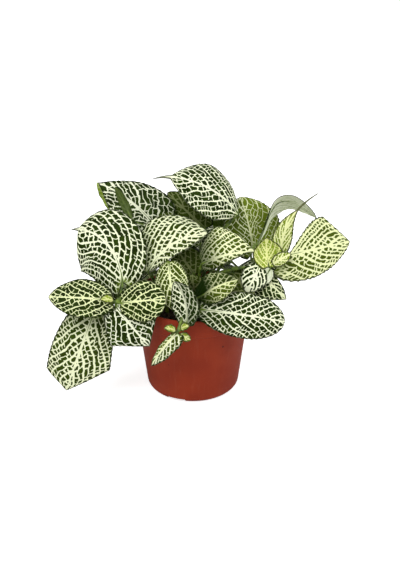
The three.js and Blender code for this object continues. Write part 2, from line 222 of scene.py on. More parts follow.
# The net lies in rows between side veins. Rows counts them from the leaf's base, run is the way
# along a row, and pitch is how wide a row is here. Rows fork and cells shorten towards the margin.
# Lengths are millimetres. Sways are a broad and a fine one, and halves of veins are shares of the
# leaf's vein width.
netShape = dict(
    swayScales=(100.0, 340.0), rowSway=(0.65, 0.4), runSway=(4.0, 2.4), outerSway=(0.3, 0.3),
    marginSway=(0.0, 0.6), outer=(0.4, 0.6), outerWidth=0.78, zigzag=0.6, zigzagPace=0.85, pairShift=9.3,
    rowShift=7.5, rowHalf=0.72, oddLess=-0.3, oddEnds=(1.2, 1.9), extraHalf=0.36, extraStarts=(4.0, 4.8),
    innerCross=(0.88, 0.4), outerCross=(0.6, 0.34), crossRandom=0.75, midribHalf=1.5, midribMost=1.1,
    midribTip=0.45, joint=0.35, ragged=0.2, raggedScale=1300.0, vein=(-0.12, 0.22), relief=(-0.4, 0.7),
    webScale=900.0, web=(0.0, 0.12), margin=(0.75, 1.25), away=3.0,
)


def makeVeinNet():
    names = ["Rows", "Run", "Pitch", "Midrib", "Margin", "Along", "Vein Width", "Cell Length"]
    inputs = [(name, "NodeSocketFloat") for name in names] + [("Coordinates", "NodeSocketVector")]
    group, given, result = newGroup("veinNet", inputs, ["Vein", "Relief", "Hairline", "Edge"])
    sockets = (given[name] for name, _ in inputs)
    rows, run, pitch, midrib, margin, along, veinWidth, cellLength, place = sockets
    shape, maths, fading = netShape, partial(mathNode, group), partial(fade, group)
    plus, less, times, over = (partial(maths, name) for name in ("ADD", "SUBTRACT", "MULTIPLY", "DIVIDE"))
    timesPlus = partial(maths, "MULTIPLY_ADD")

    def swayAt(scale):
        sockets = {"Vector": place, "Scale": scale, "Detail": 1.0}
        return partsOf(group, addNode(group, "ShaderNodeTexNoise", sockets).outputs["Color"])

    sways = [swayAt(scale) for scale in shape["swayScales"]]

    def swayed(value, axis, amounts):
        for sway, amount in zip(sways, amounts):
            value = timesPlus(less(sway[axis], 0.5), amount, value)
        return value

    rows = swayed(rows, "X", shape["rowSway"])
    run = swayed(run, "Y", shape["runSway"])
    # Every second row vein zigzags between its neighbours.
    turned = maths("SINE", times(rows, math.pi / 2))
    pair = timesPlus(maths("FLOOR", over(rows, 2.0)), shape["pairShift"], over(run, cellLength))
    sockets = {"W": pair, "Scale": shape["zigzagPace"], "Detail": 0.0}
    zigzag = addNode(group, "ShaderNodeTexNoise", sockets, noise_dimensions="1D").outputs["Fac"]
    rows = timesPlus(times(turned, turned), times(less(zigzag, 0.5), shape["zigzag"]), rows)
    reach = over(midrib, plus(midrib, margin))
    outer = fading(swayed(reach, "Z", shape["outerSway"]), *shape["outer"])
    inner = less(1.0, outer)
    width = times(veinWidth, fading(reach, 0.0, 1.0, 1.0, shape["outerWidth"]))

    def rowVein(at, half):
        away = maths("ABSOLUTE", less(at, maths("ROUND", at)))
        return less(times(away, pitch), times(width, half))

    def crossVein(share, half):
        cell = times(cellLength, share)
        at = timesPlus(maths("FLOOR", rows), shape["rowShift"], over(run, cell))
        sockets = {"W": at, "Scale": 1.0, "Randomness": shape["crossRandom"]}
        cross = addNode(group, "ShaderNodeTexVoronoi", sockets, voronoi_dimensions="1D",
                        feature="DISTANCE_TO_EDGE")
        return less(times(cross.outputs["Distance"], cell), times(width, half))

    # Every second row vein ends where the rows get narrow, and one more starts where they are wide.
    odd = maths("FLOORED_MODULO", maths("ROUND", rows), 2.0)
    ending = times(odd, fading(pitch, *shape["oddEnds"], 2.0, 0.0))
    starting = fading(pitch, *shape["extraStarts"], shape["away"], 0.0)
    joined = plus(rowVein(rows, timesPlus(odd, shape["oddLess"], shape["rowHalf"])), ending)
    midHalf = maths("MINIMUM", times(veinWidth, shape["midribHalf"]), shape["midribMost"])
    midHalf = times(midHalf, fading(along, 0.0, 1.0, 1.0, shape["midribTip"]))
    others = [
        timesPlus(outer, shape["away"], crossVein(*shape["innerCross"])),
        timesPlus(inner, shape["away"], crossVein(*shape["outerCross"])),
        plus(rowVein(plus(rows, 0.5), shape["extraHalf"]), starting),
        less(midrib, midHalf),
    ]
    for other in others:
        joined = maths("SMOOTH_MIN", joined, other, shape["joint"])
    ragged = noiseAt(group, place, shape["raggedScale"], 2.0)
    joined = plus(joined, timesPlus(ragged, shape["ragged"], -shape["ragged"] / 2))
    sockets = {"Vector": place, "Scale": shape["webScale"]}
    web = addNode(group, "ShaderNodeTexVoronoi", sockets, feature="DISTANCE_TO_EDGE").outputs["Distance"]
    masks = {"Vein": (joined, "vein"), "Relief": (joined, "relief"), "Hairline": (web, "web"),
             "Edge": (swayed(margin, "Z", shape["marginSway"]), "margin")}
    for name, (distance, limits) in masks.items():
        group.links.new(fading(distance, *shape[limits], 1.0, 0.0), result[name])
    return group


veinNet = makeVeinNet()


# Leaf materials

leafSkin = dict(
    paint=paintSet(
        cell=(22, 33, 3),
        cellLight=(58, 82, 14),
        halo=(84, 112, 30),
        vein=(244, 248, 218),
        warmVein=(228, 236, 168),
        youngCell=(142, 164, 44),
        youngVein=(234, 238, 158),
        stalk=(136, 160, 56),
        # Painted shade, laid over leaves that lie in the shade of others
        gloom=(22, 40, 4),
        underCell=(92, 122, 44),
        underVein=(176, 194, 118),
        underPale=(248, 252, 226),
        paleVein=(150, 174, 92),
        # Painted shade for the undersides of leaves in shade
        underGloom=(20, 34, 10),
        stemDark=(50, 72, 14),
        stemLight=(110, 134, 32),
    ),
    upper=dict(mottle=0.45, mottleScale=170.0, hairline=0.28, vein=(0.25, 0.8), halo=(0.0, 0.5),
               margin=0.85, stalk=0.6, stalkEnd=0.05, depthEnd=0.55, grain=0.35, grainScale=2600.0,
               roughness=(0.42, 0.5), specular=0.04, bump=0.5, bumpDepth=0.4),
    under=dict(mottle=0.5, mottleScale=200.0, strength=0.75, vein=(0.3, 1.0), roughness=(0.55, 0.48),
               specular=0.2, bump=0.6, bumpDepth=0.4),
    stem=dict(streak=dict(scale=300.0, detail=4.0, low=0.3), grainScale=1800.0, roughness=(0.6, 0.45),
              specular=0.5, bump=0.4, bumpDepth=0.2),
)


# The attribute "blade" holds the distances from midrib and margin and the share of the length, and
# "row" the pitch, vein width and cell length. "tint" holds youth, pallor and painted shade,
# and "mood" warmth, faintness of the veins and the depth of the painted shade at the base.
def placeVeinNet(tree):
    def attribute(name):
        return partsOf(tree, addNode(tree, "ShaderNodeAttribute", attribute_name=name).outputs["Vector"])

    place = objectPlace(tree)
    onVeins = partsOf(tree, addNode(tree, "ShaderNodeUVMap", uv_map="veins").outputs["UV"])
    blade, row, tint, mood = (attribute(name) for name in ("blade", "row", "tint", "mood"))
    net = addNode(tree, "ShaderNodeGroup", node_tree=veinNet)
    given = {"Rows": onVeins["X"], "Run": onVeins["Y"], "Pitch": row["X"], "Vein Width": row["Y"],
             "Cell Length": row["Z"], "Midrib": blade["X"], "Margin": blade["Y"], "Along": blade["Z"],
             "Coordinates": place}
    for name, socket in given.items():
        tree.links.new(socket, net.inputs[name])
    return net.outputs, blade["Z"], tint, mood, place


def makeUpperSide():
    skin = newMaterial("leafUpper")
    tree, paint, finish = skin[1], leafSkin["paint"], leafSkin["upper"]
    net, along, tint, mood, place = placeVeinNet(tree)
    mottle = scaled(tree, patches(tree, place, finish["mottleScale"]), finish["mottle"])
    hairline = scaled(tree, net["Hairline"], finish["hairline"])
    cell = layered(tree, paint["cell"], (mottle, paint["cellLight"]), (hairline, paint["cellLight"]),
                   (tint["X"], paint["youngCell"]))
    vein = layered(tree, paint["vein"], (mood["X"], paint["warmVein"]), (tint["X"], paint["youngVein"]))
    strength = mathNode(tree, "SUBTRACT", 1.0, mood["Y"])
    veinShare = scaled(tree, fade(tree, net["Vein"], *finish["vein"]), strength)
    haloShare = fade(tree, net["Vein"], *finish["halo"])
    stalkShare = fade(tree, along, 0.0, finish["stalkEnd"], finish["stalk"], 0.0)
    margin = scaled(tree, net["Edge"], finish["margin"])
    # Where leaves above keep the light from a leaf's base, it is darker there.
    depth = scaled(tree, mood["Z"], fade(tree, along, 0.0, finish["depthEnd"], 1.0, 0.0))
    # The leaf's own painted shade and the painted shade at its base, added together
    gloom = mathNode(tree, "ADD", tint["Z"], depth)
    colour = layered(tree, cell, (haloShare, paint["halo"]), (veinShare, vein),
                     (stalkShare, paint["stalk"]), (margin, paint["cell"]), (gloom, paint["gloom"]))
    roughness = fade(tree, net["Vein"], 0.0, 1.0, *finish["roughness"])
    grain = noiseAt(tree, place, finish["grainScale"])
    height = mathNode(tree, "MULTIPLY_ADD", grain, finish["grain"], scaled(tree, net["Relief"], -1.0))
    return finishSkin(skin, finish, colour, roughness, height)


def makeUnderSide():
    skin = newMaterial("leafUnder")
    tree, paint, finish = skin[1], leafSkin["paint"], leafSkin["under"]
    net, _, tint, mood, place = placeVeinNet(tree)
    mottle = scaled(tree, noiseAt(tree, place, finish["mottleScale"]), finish["mottle"])
    cell = layered(tree, paint["underCell"], (mottle, paint["halo"]), (tint["X"], paint["youngCell"]),
                   (tint["Y"], paint["underPale"]))
    strength = mathNode(tree, "MULTIPLY_ADD", mood["Y"], -finish["strength"], finish["strength"])
    veinShare = scaled(tree, fade(tree, net["Vein"], *finish["vein"]), strength)
    vein = mixColour(tree, tint["Y"], paint["underVein"], paint["paleVein"])
    # Painted shade lies over the underside by the leaf's share of it.
    colour = layered(tree, cell, (veinShare, vein), (tint["Z"], paint["underGloom"]))
    roughness = fade(tree, net["Vein"], 0.0, 1.0, *finish["roughness"])
    return finishSkin(skin, finish, colour, roughness, net["Relief"])


def makeStalkSkin():
    skin = newMaterial("stalkSkin")
    tree, paint, finish = skin[1], leafSkin["paint"], leafSkin["stem"]
    place = objectPlace(tree)
    streak = patches(tree, place, **finish["streak"])
    colour = mixColour(tree, streak, paint["stemDark"], paint["stemLight"])
    roughness = fade(tree, streak, 0.0, 1.0, *finish["roughness"])
    return finishSkin(skin, finish, colour, roughness, noiseAt(tree, place, finish["grainScale"]))


leafMaterials = [makeUpperSide(), makeUnderSide(), makeStalkSkin()]
print("leaf materials ready")


# Stems and leaves

stemShape = dict(radius=1.5, tipRadius=1.15, sides=14, rootDepth=8, cell=2.0, swell=0.22, swellReach=2.2,
                 cap=0.9, smoothAngle=50)
petioleShape = dict(radius=0.9, sides=10, steps=9, slimWidth=20, slimLeast=0.55, inside=0.08,
                    neckDepth=0.4, insideDepth=0.8, bend=0.5, middle=(0.35, 0.35, 0.3), ribStart=0.62,
                    ribEnd=0.16, ribSteps=9, ribReach=0.8, ribDepth=0.5)
bladeShape = dict(cell=1.05, thickness=0.5, pointed=0.22, relief=0.3, reliefFrom=3, reliefEdge=5,
                  groove=0.25, grooveWidth=0.9, ripples=15, rippleDrift=1.7, rippleShift=2, waveShift=1.3,
                  slim=6, leastDrip=0.04)
rowShape = dict(bend=0.15, bendPace=0.16, bendSlant=2.5, start=0.35, runStart=40, pitches=(0.05, 9),
                rightShift=60)
hairShape = dict(perMm=3.2, length=(0.45, 0.9), radius=0.045, root=0.94, lean=0.5)
# A point's radius, which is too small to see
pointRadius = 0.001

# A stem is a smooth line through its points, from the soil to its last leaf.
stems = {
    "stem_left": [(-19, -12, 66), (-24, -16, 87), (-40, -28, 96), (-55, -37, 87)],
    "stem_upper_left": [(-6, 3, 66), (-12, 2, 90), (-24, 4, 112), (-30, 12, 127)],
    "stem_top": [(6, 6, 66), (10, 3, 98), (20, 6, 122), (32, 12, 134)],
    "stem_centre_left": [(-18, -2, 66), (-27, -7, 86), (-31, -12, 98)],
    "stem_centre": [(4, -6, 66), (4, -9, 86), (6, -15, 104)],
    "stem_front": [(0, -20, 66), (-3, -34, 80), (-7, -46, 80), (-10, -53, 72)],
    "stem_front_right": [(8, -18, 66), (8, -28, 77), (4, -39, 82)],
    "stem_right": [(-9, -10, 66), (-6, -15, 87), (8, -19, 97), (30, -16, 104), (56, -12, 103)],
    "stem_behind_right": [(10, -1, 66), (20, 14, 90), (30, 17, 97), (44, 16, 103)],
}

# A leaf runs from base to tip along a bowed midrib, and its upper side faces an azimuth and a
# height above the horizon. A pair of values is for the left and the right half of the blade,
# seen from above with the tip away. Its petiole starts at a share of the stem's length.
leafUsual = dict(
    arch=3, lean=1, sweep=0, cup=16, fold=0, corner=1, drip=0, curl=0, wave=0.8, waves=2.5, phase=0,
    lobe=5, swell=0.55, taper=0.7, start=1, tail=0.8, ripple=0.25, pitch=4.1, cell=4.4, vein=0.7,
    angle=36, crowding=0.15, straight=0.6, youth=0, pale=0, gloom=0, warmth=0.15, faint=0, depth=0,
)
# Inner leaves lie in the shade of the others. This look paints that shade in as dark yellow-green, with
# warmer and younger colours.
shaded = dict(gloom=0.68, faint=0.25, warmth=1, youth=0.35)
bud = dict(pitch=1.6, cell=1.8, vein=0.45, youth=1.1, faint=0.2, arch=1, lobe=1)


# The usual values give way to those of a look, and these to the leaf's own.
def leaf(base, tip, width, faces, look=leafUsual, **own):
    return {**leafUsual, **look, "base": base, "tip": tip, "width": width, "faces": faces, **own}


# The leaves of each stem, every one with its base, its tip, its width and the way it faces
# The shade values in this table are painted into the leaves' colour: one darkens a whole half, and depth
# darkens the base.
leaves = {
    "stem_left": dict(
        leftBig=leaf((-51, -24, 98), (-91, 4, 127), (60, 52), (-18, 30), arch=8, sweep=-13, cup=22,
            lean=1.3, swell=(0.62, 0.55), taper=(0.42, 0.6), lobe=(17, 9), wave=0.5, drip=0.12, curl=3,
            pitch=4.4, cell=4.8, vein=0.86, angle=34, straight=0.3, tail=1.7),
        leftFront=leaf((-60, -37, 89), (-104, -34, 90), 29, (-8, 38), taper=0.75, lobe=(9, 5),
            pitch=3.8, vein=0.56, angle=32, warmth=0.7),
        leftInner=leaf((-51, -38, 87), (-19, -42, 92), 31, (6, 34), cup=20, taper=0.5, pitch=3.8,
            vein=0.56, angle=32, warmth=0.8),
        leftHanging=leaf((-73, -32, 73), (-94, -44, 17), (55, 43), (-6, 8), arch=5, cup=12,
            swell=(0.3, 0.2), taper=(0.05, 0.2), corner=(0.52, 0.8), lobe=(10, 4), pitch=4.4, vein=1.06,
            warmth=0.3, youth=0.06, depth=0.25),
        leftUnder=leaf((-55, -38, 84), (-31, -48, 57), (42, 49), (8, 6), cup=15, swell=(0.4, 0.45),
            taper=(0.15, 0.1), corner=(0.6, 0.47), lobe=8, pitch=4.8, cell=5.2, warmth=0, gloom=0.03),
        leftYoung=leaf((-57, -38, 89), (-66, -40, 91), 8, (0, 60), bud, cup=-40),
    ),
    "stem_upper_left": dict(
        upperLeft=leaf((-30, 12, 129), (-72, 38, 151), (40, 44), (-8, 34), cup=10, sweep=-3,
            swell=(0.5, 0.22), taper=1.1, lobe=(2, 8), pitch=7, cell=8.5, vein=0.8, angle=42, warmth=0,
            gloom=0.04, depth=0.2),
        upperLeftFold=leaf((-46, 14, 132), (-58, 24, 153), 7, (190, 10), shaded, arch=2, cup=20,
            pitch=2.4, faint=0.6),
        # Its underside's bright yellow-green, given by youth, is painted light shining through the leaf
        # from behind.
        upperLeftBack=leaf((-58, 30, 129), (-73, 38, 151), (17, 9), (190, 10), arch=2, cup=20,
            start=0.9, pitch=2.6, youth=0.8),
    ),
    "stem_top": dict(
        top=leaf((34, 12, 136), (-28, 10, 166), (44, 50), (8, 58), arch=9, sweep=-4, cup=(28, 22),
            swell=(0.6, 0.85), taper=(0.75, 1), lobe=0, drip=0.15, curl=3, pitch=4.2, vein=0.66,
            tail=1.7),
        behindDark=leaf((9, 20, 121), (-19, 28, 147), (20, 26), (-20, 35), shaded, arch=4, cup=15,
            swell=0.4, start=0.65),
    ),
    "stem_centre_left": dict(
        centreLeft=leaf((-33, -12, 99), (11, -4, 127), (57, 18), (-14, 42), arch=8, sweep=5, cup=22,
            swell=(0.5, 0.8), lobe=(3, 5), pitch=3.9, vein=1.16, warmth=0.25, youth=0.07),
        centreSmall=leaf((-17, -18, 110), (-11, -38, 80), 27, (-12, 30), arch=7, cup=35, pitch=3.2,
            cell=3.6, vein=0.6, warmth=0.6, youth=0.15),
    ),
    "stem_front": dict(
        frontUpright=leaf((-4, -50, 77), (-13, -40, 105), (22, 22), (-30, 22), arch=-2, sweep=-3,
            fold=12, cup=10, start=0.8, pitch=3.4, gloom=(0.05, 0.35), depth=0.3),
        frontDrooping=leaf((-11, -54, 71), (-30, -50, 42), (16, 9), (-30, 30), arch=2, cup=30,
            swell=(0.3, 0.5), taper=0.75, pitch=2.8, vein=0.72, youth=(0.15, 0.4)),
        frontYoungLeft=leaf((-12, -54, 73), (-20, -55, 76), 7, (-10, 60), bud, cup=-25),
        frontYoungRight=leaf((-8, -53, 74), (-2, -54, 77), 7, (10, 60), bud, cup=-25),
        frontYoungLow=leaf((-9, -54, 70), (-1, -55, 66), 7, (10, 40), bud, cup=20, youth=0.8),
    ),
    "stem_front_right": dict(
        rightFront=leaf((6, -42, 84), (67, -40, 73), 34, (2, 34), arch=4, cup=18, taper=0.5, pitch=3.9,
            vein=0.66, depth=0.35),
        rightUpper=leaf((4, -36, 90), (33, -30, 102), (26, 22), (12, 40), arch=11, cup=38, pitch=3.3,
            cell=3.6, vein=0.6, gloom=(0.48, 0.1), youth=(0.1, 0.25), warmth=0.7, depth=0.9),
        rightInner=leaf((16, -26, 87), (42, -31, 86), 20, (0, 36), shaded, arch=2, start=0.6),
    ),
    "stem_centre": dict(
        centre=leaf((7, -16, 108), (45, -14, 117), (50, 15), (10, 38), arch=11, cup=34,
            swell=(0.45, 0.3), taper=(0.7, 1.2), pitch=3.6, cell=3.8, vein=0.92, warmth=0.45,
            youth=0.18, depth=0.75),
        centreInner=leaf((1, -6, 95), (-12, 3, 112), 26, (-10, 35), shaded, cup=12, start=0.6),
    ),
    "stem_behind_right": dict(
        behindRight=leaf((46, 16, 104), (36, 34, 141), (40, 56), (25, 16), cup=14, lobe=8, pitch=5,
            cell=6, vein=0.54, youth=(0.25, 0.45), faint=0.15, gloom=0.08, ripple=0.6),
        behindPale=leaf((35, 27, 113), (14, 29, 125), 20, (180, 25), arch=2, start=0.8, youth=0.3,
            faint=0.5),
    ),
    "stem_right": dict(
        rightBig=leaf((69, -8, 111), (116, -2, 120), (45, 42), (10, 26), cup=10, swell=(1.4, 0.3),
            taper=(0.8, 0.75), corner=(0.68, 1), lobe=(0, 15), waves=3.5, pitch=3.6, cell=3.7,
            vein=1.15, youth=0.2, warmth=0.65, ripple=0.45),
        rightYoung=leaf((56, -14, 105), (54, -8, 125), 24, (10, 20), arch=-3, cup=-35, pitch=1.9,
            cell=2.4, vein=0.6, youth=1),
        rightSmall=leaf((59, -14, 107), (72, -11, 114), 10, (15, 35), cup=10, pitch=2, cell=2.2,
            vein=0.6, youth=0.7),
        rightArching=leaf((45, 2, 114), (93, 16, 131), (24, 30), (180, 40), arch=25, lean=1.6, cup=20,
            swell=1.6, taper=(0.9, 0.35), start=0.9, pitch=2.8, cell=12, vein=0.5, angle=16, pale=1,
            faint=0.15),
        rightStriped=leaf((65, -5, 110), (92, 10, 153), 17, (-40, 10), arch=2, sweep=7, cup=-20,
            taper=1.3, drip=0.3, pitch=2.2, cell=5, vein=0.95, angle=24, youth=0.7),
        rightHanging=leaf((49, -16, 106), (39, -26, 90), 20, (5, 20), cup=25, pitch=3, cell=7,
            vein=1.1),
        rightTurned=leaf((57, -16, 104), (50, -23, 94), 10, (175, -10), arch=2, cup=20, lobe=2, pitch=2,
            pale=0.8, faint=0.6),
        rightInmost=leaf((2, -17, 83), (0, -25, 104), 25, (-5, 25), shaded, cup=12, start=0.3),
        rightDeep=leaf((30, -13, 98), (45, -12, 79), 26, (5, 20), shaded, cup=12, start=0.75,
            gloom=0.5),
        rightLow=leaf((52, -12, 95), (69, -24, 83), (14, 26), (8, 22), arch=4, cup=20, swell=0.4,
            taper=0.9, pitch=3.2, vein=0.62, warmth=0.5, gloom=0.08),
    ),
}

# The stems behind fan out round the back of the pot. Each holds a cover leaf that lies over the
# rim, skirt leaves that hang outside it and, where the front foliage hides it, a crown leaf.
# Measures are distances from the pot's axis and heights, and a pair of them is a range.
fan = dict(
    azimuths=(106, 140, 167, 194, 222, 250), stagger=5, root=(17, 66), bend=(24, 88), end=(47, 86),
    cover=dict(base=(38, 97), out=(76, 90), top=(78, 94), width=(36, 46), height=(50, 70), spread=12),
    skirt=dict(base=(52, 76), out=(66, 82), top=(34, 58), width=(22, 32), height=(8, 40), spread=26),
    crown=dict(base=(24, 111), out=(54, 68), top=(106, 122), width=(30, 40), height=(55, 80), spread=16),
    ranges=dict(arch=(3, 9), sweep=(-4, 4), cup=(10, 26), phase=(0, 360)),
    apart=8, outer=7, seeds=(431, 21, 27, 1, 5, 1), seedSpread=104729,
    skirts=((1,), (-1, 1), (-1, 1), (-1, 1), (-1, 1), (-1, 1)), crowns=(2, 3, 4),
)


# The same draws come every time.
def makeDraw(seed):
    state = seed

    def draw(low, high):
        nonlocal state
        state = state * 16807 % 2147483647
        return low + (high - low) * state / 2147483647
    return draw


def around(azimuth, distance, height):
    angle = math.radians(azimuth)
    return (distance * math.sin(angle), -distance * math.cos(angle), height)


def addFan():
    for k, seed in enumerate(fan["seeds"]):
        draw = makeDraw(seed * fan["seedSpread"])
        azimuth = fan["azimuths"][k]
        lift = -fan["stagger"] if k % 2 == 0 else fan["stagger"]
        node = f"stem_back_{k + 1}"
        stems[node] = [around(azimuth, *fan[part]) for part in ("root", "bend", "end")]
        leaves[node] = {}

        def fanLeaf(kind, shape, turn, outward, rise, start):
            tipTurn = turn * draw(1, 2)
            tipOut = draw(*shape["out"]) + outward
            tipTop = draw(*shape["top"]) + rise
            base = around(azimuth + turn, shape["base"][0] + outward, shape["base"][1] + rise)
            tip = around(azimuth + tipTurn, tipOut, tipTop)
            width = draw(*shape["width"])
            faces = (azimuth + turn + draw(-shape["spread"], shape["spread"]), draw(*shape["height"]))
            own = {key: draw(*limits) for key, limits in fan["ranges"].items()}
            leaves[node][f"back{k + 1}{kind}"] = leaf(base, tip, width, faces, start=start, **own)

        fanLeaf("Cover", fan["cover"], draw(-5, 5), 0, lift, 0.8)
        for side in fan["skirts"][k]:
            kind = "SkirtLeft" if side < 0 else "SkirtRight"
            fanLeaf(kind, fan["skirt"], side * fan["apart"], fan["outer"] if side < 0 else 0, 0, 1)
        if k in fan["crowns"]:
            fanLeaf("Crown", fan["crown"], draw(-9, 9), 0, lift, 0.5)


addFan()


def unit(vectors):
    return vectors / np.linalg.norm(vectors, axis=-1, keepdims=True)


# Both halves' value at each place across the blade
def halves(value, across):
    left, right = value if isinstance(value, tuple) else (value, value)
    return np.where(across > 0, left, right)


def smoothLine(points, shares):
    points = np.array(points, float)
    last = len(points) - 1
    padded = np.vstack([2 * points[0] - points[1], points, 2 * points[-1] - points[-2]])
    place = np.asarray(shares, float) * last
    first = np.minimum(place.astype(int), last - 1)
    rest = (place - first)[:, None]
    p0, p1, p2, p3 = (padded[first + k] for k in range(4))
    pairs = ((p0, p1), (p1, p2), (p2, p3))
    gap0, gap1, gap2 = (np.linalg.norm(b - a, axis=1)[:, None] ** 0.5 for a, b in pairs)
    into = ((p1 - p0) / gap0 - (p2 - p0) / (gap0 + gap1) + (p2 - p1) / gap1) * gap1
    outOf = ((p2 - p1) / gap1 - (p3 - p1) / (gap1 + gap2) + (p3 - p2) / gap2) * gap1
    return (p1 + into * rest + (3 * (p2 - p1) - 2 * into - outOf) * rest ** 2
            + (2 * (p1 - p2) + into + outOf) * rest ** 3)


fineShares = np.linspace(0, 1, 201)


def lengthOf(path):
    return np.linalg.norm(np.diff(path, axis=0), axis=1)


# Points at even steps of the line's length, or at the given shares of it
def evenLine(points, shares):
    length = np.concatenate([[0], np.cumsum(lengthOf(smoothLine(points, fineShares)))])
    return smoothLine(points, np.interp(np.asarray(shares) * length[-1], length, fineShares))


def bladeAxes(leaf):
    base, tip = np.array(leaf["base"], float), np.array(leaf["tip"], float)
    length = np.linalg.norm(tip - base)
    along = (tip - base) / length
    azimuth, height = (math.radians(v) for v in leaf["faces"])
    level = math.cos(height)
    up = np.array([math.sin(azimuth) * level, -math.cos(azimuth) * level, math.sin(height)])
    up = unit(up - up @ along * along)
    return base, along, length, up, np.cross(up, along)


def midribAt(leaf, axes, share):
    base, along, length, up, across = axes
    share = np.asarray(share, float)[..., None]
    bow = share ** leaf["lean"]
    beyond = np.maximum(share + leaf["drip"] - 1, 0) / max(leaf["drip"], 0.01)
    rise = leaf["arch"] * 4 * bow * (1 - bow) - leaf["curl"] * beyond ** 2
    return base + along * length * share + up * rise + across * leaf["sweep"] * 4 * share * (1 - share)


def outlineAt(leaf, share, across):
    along = np.minimum(share / (1 - leaf["drip"]), 1)
    swell, taper, corner = (halves(leaf[key], across) for key in ("swell", "taper", "corner"))
    peak = swell / (swell + taper)
    curved = (along / peak) ** swell * ((1 - along) / (1 - peak)) ** taper
    straight = (1 - along) / np.maximum(1 - corner, 0.001)
    return np.where(corner < 1, np.minimum(curved, straight), curved)


def halfWidthAt(leaf, share, across):
    width = halves(leaf["width"], across) / 2 * outlineAt(leaf, share, across)
    turns = 2 * math.pi * (share * bladeShape["ripples"] + bladeShape["rippleDrift"] * share ** 2)
    ripple = np.sin(turns + np.where(across > 0, bladeShape["rippleShift"], 0)) * np.abs(across) ** 4
    width = width + leaf["ripple"] * ripple * np.clip(width / bladeShape["slim"], 0, 1)
    fromTip = np.clip((1 - share) / max(leaf["drip"], bladeShape["leastDrip"]), 0, 1)
    least = fromTip * (leaf["tail"] - bladeShape["pointed"]) + bladeShape["pointed"]
    return np.maximum(width, least)


def bladePoints(leaf, axes, share, across):
    base, along, length, up, side = axes
    step = 0.004
    early = np.maximum(share - step, step)
    late = np.minimum(np.maximum(share, step) + step, 1)
    tangent = unit(midribAt(leaf, axes, late) - midribAt(leaf, axes, early))
    lifted = up * (tangent @ along)[..., None] - along * (tangent @ up)[..., None]
    outward = unit(np.cross(lifted, tangent))
    normal = np.cross(tangent, outward)
    reach = np.abs(across)
    halfWidth = halfWidthAt(leaf, share, across)
    cup = np.radians(halves(leaf["cup"], across))
    fold = np.radians(halves(leaf["fold"], across))
    out = (np.sin(cup * reach - fold) + np.sin(fold)) / cup
    rise = (np.cos(cup * reach - fold) - np.cos(fold)) / cup
    outline = outlineAt(leaf, share, across)
    swing = 2 * math.pi * leaf["waves"] * share + math.radians(leaf["phase"])
    swing = swing + np.where(across > 0, bladeShape["waveShift"], 0)
    wave = leaf["wave"] * np.sin(swing) * reach ** 3 * outline
    lobe = halves(leaf["lobe"], across) * reach ** 2 * (1 - share) ** 4
    lobe = lobe * np.minimum(1, halfWidth / bladeShape["slim"])
    return (midribAt(leaf, axes, share) + outward * (np.sign(across) * out * halfWidth)[..., None]
            + normal * (rise * halfWidth + wave)[..., None] - tangent * lobe[..., None])


# Rows are counted along the midrib. The side veins between them leave it at a small angle and
# come to run along the margin, closer together there.
def veinFields(leaf, points, share, across, length, chance):
    reach = np.abs(across)
    halfWidth = halfWidthAt(leaf, share, across)
    halfWidest = halves(leaf["width"], across) / 2
    slant = math.radians(leaf["angle"])
    step = leaf["pitch"] / math.sin(slant)
    phases = [chance.uniform(0, 6) for _ in range(3)]
    x = share * length
    phase = halves((phases[0], phases[1]), across)
    bend = rowShape["bend"] * np.sin(rowShape["bendPace"] * x + rowShape["bendSlant"] * reach + phase)
    spread = reach * (1 - leaf["straight"]) + leaf["straight"] * reach * halfWidth / halfWidest
    crowded = halfWidest / math.tan(slant) * spread * (1 + leaf["crowding"] * reach)
    rows = (x - crowded) / step + bend + rowShape["start"] + phases[2] / 12
    run = x * math.cos(slant) + reach * halfWidth * math.sin(slant) + rowShape["runStart"]
    byShare = np.gradient(points, share[:, 0], axis=0)
    byAcross = np.gradient(points, across[0], axis=1)
    products = ((byShare, byShare), (byShare, byAcross), (byAcross, byAcross))
    e, f, g = (np.sum(a * b, axis=-1) for a, b in products)
    rowsByShare = np.gradient(rows, share[:, 0], axis=0)
    middle = across.shape[1] // 2
    sides = (slice(0, middle + 1), slice(middle, None))
    parts = [np.gradient(rows[:, side], across[0, side], axis=1) for side in sides]
    rowsByAcross = np.hstack([parts[0], parts[1][:, 1:]])
    slope = (g * rowsByShare ** 2 - 2 * f * rowsByShare * rowsByAcross + e * rowsByAcross ** 2)
    slope = np.sqrt(np.maximum(slope, 1e-9) / np.maximum(e * g - f * f, 1e-6))
    return rows, run, np.clip(1 / slope, *rowShape["pitches"]), halfWidth


def selectOnly(*pieces):
    bpy.ops.object.select_all(action="DESELECT")
    for piece in reversed(pieces):
        piece.select_set(True)
        bpy.context.view_layer.objects.active = piece


def gridObject(name, columns, rows):
    selectOnly()
    bpy.ops.mesh.primitive_grid_add(x_subdivisions=columns, y_subdivisions=rows, size=1)
    piece = bpy.context.object
    piece.name = name
    flat = np.empty(len(piece.data.vertices) * 3)
    piece.data.vertices.foreach_get("co", flat)
    flat = flat.reshape(-1, 3)
    column = np.rint((flat[:, 0] + 0.5) * columns).astype(int)
    row = np.rint((flat[:, 1] + 0.5) * rows).astype(int)
    return piece, row, column


def setMaterials(mesh, materials, slot=0):
    for material in materials:
        mesh.materials.append(material)
    mesh.polygons.foreach_set("material_index", [slot] * len(mesh.polygons))


# Places are in millimetres.
def setPlaces(mesh, places):
    mesh.vertices.foreach_set("co", (places * mm).astype(np.float32).ravel())


def setVector(mesh, name, vectors):
    attribute = mesh.attributes.new(name, "FLOAT_VECTOR", "POINT")
    attribute.data.foreach_set("vector", np.asarray(vectors, np.float32).ravel())


def applyModifier(piece, kind, **settings):
    bpy.context.view_layer.objects.active = piece
    modifier = piece.modifiers.new(kind.lower(), kind)
    for name, value in settings.items():
        setattr(modifier, name, value)
    bpy.ops.object.modifier_apply(modifier=modifier.name)


